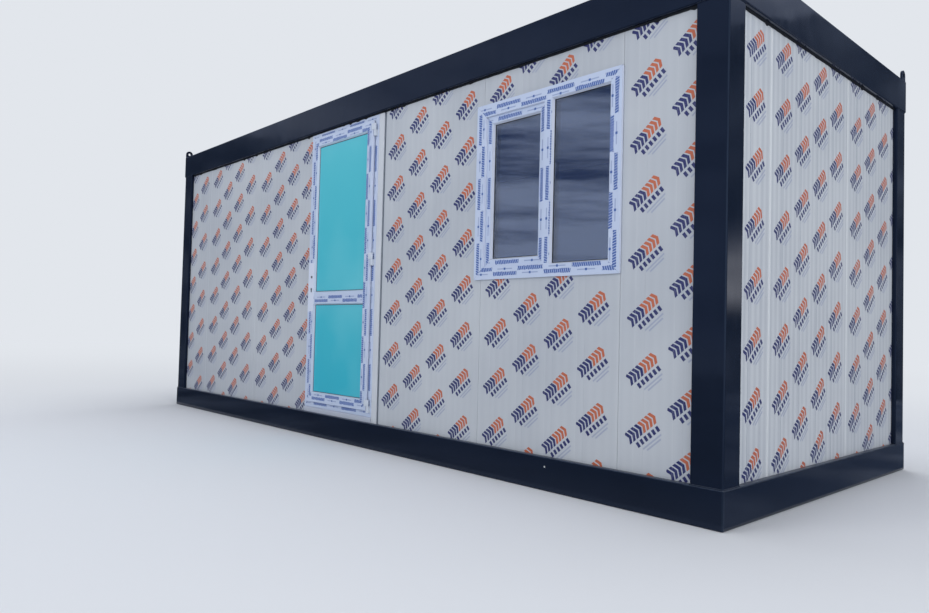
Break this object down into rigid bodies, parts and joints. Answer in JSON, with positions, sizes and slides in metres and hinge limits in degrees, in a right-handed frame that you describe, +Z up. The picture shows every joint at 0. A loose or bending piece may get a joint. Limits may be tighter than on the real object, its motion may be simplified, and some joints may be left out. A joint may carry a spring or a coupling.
{
  "type": "portable site cabin",
  "caption": "Steel-framed portable site cabin with sandwich panel walls, a glazed-frame door that swings outward, a two-light window, a recessed ribbed roof and corner lifting eyes",
  "frame": {"origin": "the middle of the base, at ground level, lifting eyes included in the box above", "axes": "+Z up; X along the long front wall; the door and window wall faces -Y; +X is the end nearer the window"},
  "size_m": [6.058, 2.438, 2.659],
  "materials": {
    "frame_enamel": "gloss dark blue-black enamel on folded steel",
    "galvanised_steel": "galvanised sheet, dull spangle",
    "floor_board": "resin-bonded board",
    "floor_vinyl": "grey vinyl floor covering",
    "ceiling_sheet": "white coated sheet",
    "wall_panel": "light grey coated steel under a printed protective film",
    "sill_aluminium": "mill aluminium",
    "white_upvc": "white profile under a thin bluish protective film",
    "door_infill": "infill panel under glossy turquoise film",
    "hinge_enamel": "white enamel",
    "filler_strip": "off-white coated folded strip",
    "window_glass": "double glazing"
  },
  "bodies": {
    "cabin": {"floor_rail_front": "frame_enamel", "floor_rail_right": "frame_enamel", "floor_rail_rear": "frame_enamel", "floor_rail_left": "frame_enamel", "corner_post_front_left": "frame_enamel", "corner_post_rear_left": "frame_enamel", "corner_post_front_right": "frame_enamel", "corner_post_rear_right": "frame_enamel", "roof_rail_front": "frame_enamel", "roof_rail_right": "frame_enamel", "roof_rail_rear": "frame_enamel", "roof_rail_left": "frame_enamel", "lifting_eye_front_left": "frame_enamel", "lifting_eye_rear_left": "frame_enamel", "lifting_eye_front_right": "frame_enamel", "lifting_eye_rear_right": "frame_enamel", "floor_joists": "galvanised_steel", "underfloor_sheet": "galvanised_steel", "floor_board": "floor_board", "floor_covering": "floor_vinyl", "roof_purlins": "galvanised_steel", "roof_sheet": "galvanised_steel", "ceiling": "ceiling_sheet", "front_panel_1": "wall_panel", "front_panel_2": "wall_panel", "front_panel_3": "wall_panel", "front_panel_4": "wall_panel", "front_panel_5": "wall_panel", "front_panel_6": "wall_panel", "right_end_panel_1": "wall_panel", "right_end_panel_2": "wall_panel", "right_end_panel_3": "wall_panel", "rear_wall_panels": "wall_panel", "left_wall_panels": "wall_panel", "door_sill": "sill_aluminium", "door_frame": "white_upvc", "door_hinge_frame_halves": "hinge_enamel", "door_filler_strip": "filler_strip", "window_frame": "white_upvc", "window_sash": "white_upvc", "window_sash_glass": "window_glass", "window_fixed_glass": "window_glass"},
    "door": {"door_leaf": "white_upvc", "door_panes": "door_infill", "door_hinge_leaf_halves": "hinge_enamel"}
  },
  "joints": [
    {"name": "door_swing", "type": "hinge", "parent": "cabin", "child": "door", "pos_m": [0.3577, -1.208, 1.2], "axis": [0, 0, 1], "range_deg": [0, 110]}
  ]
}
